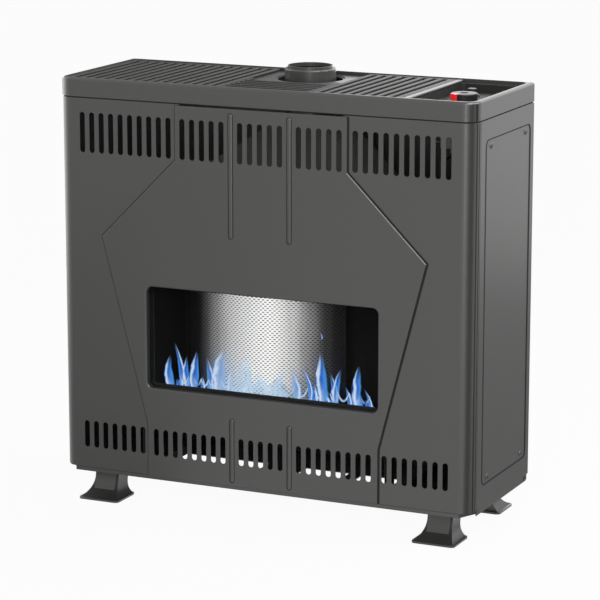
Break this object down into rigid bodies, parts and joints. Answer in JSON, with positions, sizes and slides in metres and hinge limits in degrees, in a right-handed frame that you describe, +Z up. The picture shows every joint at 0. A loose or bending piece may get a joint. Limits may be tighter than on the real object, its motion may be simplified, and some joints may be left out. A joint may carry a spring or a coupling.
{
  "type": "flued gas room heater",
  "caption": "Floor-standing flued gas heater: sheet casing with slotted front, window onto a bar burner, top grilles, flue spigot, sunk knob and igniter button.",
  "frame": {"origin": "on the floor under the middle of the casing", "axes": "+Z up, the front with the window faces -Y, +X to the right seen from the front"},
  "size_m": [0.6932, 0.254, 0.687],
  "materials": {
    "casing_paint": "satin charcoal paint",
    "feet": "satin black",
    "black_plastic": "satin black moulding",
    "red_plastic": "glossy red moulding",
    "clear_glass": "clear heat-proof ceramic glass",
    "rope_seal": "woven glass-fibre rope",
    "heat_steel": "matt black heat-proof coat",
    "bright_steel": "bare stainless steel",
    "zinc_screws": "zinc-plated steel",
    "plated_steel": "zinc-plated sheet",
    "brass_parts": "machined brass",
    "copper_lines": "drawn copper",
    "die_cast": "die-cast aluminium",
    "ceramic": "glazed white ceramic",
    "lead_cover": "silicone-covered lead",
    "flue_paint": "satin charcoal enamel"
  },
  "bodies": {
    "heater": {"back_panel": "casing_paint", "back_screws": "zinc_screws", "base_frame": "casing_paint", "burner_pipe": "copper_lines", "burner_saddles": "heat_steel", "burner_tube": "bright_steel", "button_spring": "bright_steel", "centre_panel": "casing_paint", "control_tray": "casing_paint", "firebox": "heat_steel", "firebox_seal": "rope_seal", "firebox_supports": "heat_steel", "flue_collar": "flue_paint", "flue_hood": "heat_steel", "flue_plate": "casing_paint", "foot_front_left": "feet", "foot_front_right": "feet", "foot_rear_left": "feet", "foot_rear_right": "feet", "foot_screws": "zinc_screws", "front_wing_left": "casing_paint", "front_wing_right": "casing_paint", "gas_valve": "die_cast", "glass_clips": "zinc_screws", "heat_shield": "heat_steel", "igniter_housing": "black_plastic", "igniter_nut": "bright_steel", "ignition_lead": "lead_cover", "injector": "brass_parts", "injector_bracket": "plated_steel", "injector_holder": "brass_parts", "inlet_bracket": "plated_steel", "inlet_fitting": "brass_parts", "knob_spring": "bright_steel", "pilot_bracket": "plated_steel", "pilot_burner": "bright_steel", "pilot_tube": "copper_lines", "radiant_screen": "bright_steel", "screen_stays": "heat_steel", "shield_spacers": "bright_steel", "side_cover_left": "casing_paint", "side_cover_right": "casing_paint", "side_cover_screws": "zinc_screws", "side_panel_left": "casing_paint", "side_panel_right": "casing_paint", "spark_electrode": "ceramic", "supply_pipe": "copper_lines", "thermocouple": "copper_lines", "top_cap": "casing_paint", "top_grille_centre": "casing_paint", "top_grille_left": "casing_paint", "top_grille_right": "casing_paint", "valve_bracket": "plated_steel", "window_gasket": "rope_seal", "window_glass": "clear_glass"},
    "knob_push": {"thrust_washer": "bright_steel"},
    "knob": {"control_knob": "black_plastic", "knob_pointer": "red_plastic", "valve_spindle": "bright_steel"},
    "igniter": {"igniter_button": "black_plastic"}
  },
  "joints": [
    {"name": "knob_press", "type": "slide", "parent": "heater", "child": "knob_push", "axis": [0, 0, -1], "range_m": [0, 0.004], "stiffness_N_per_m": 400, "springref_m": -0.004, "deforming": ["knob_spring"]},
    {"name": "knob_turn", "type": "hinge", "parent": "knob_push", "child": "knob", "pos_m": [0.283, -0.011, 0.66], "axis": [0, 0, 1], "range_deg": [-100, 110]},
    {"name": "igniter_press", "type": "slide", "parent": "heater", "child": "igniter", "axis": [0, 0, -1], "range_m": [0, 0.006], "stiffness_N_per_m": 600, "springref_m": -0.003, "deforming": ["button_spring"]}
  ]
}
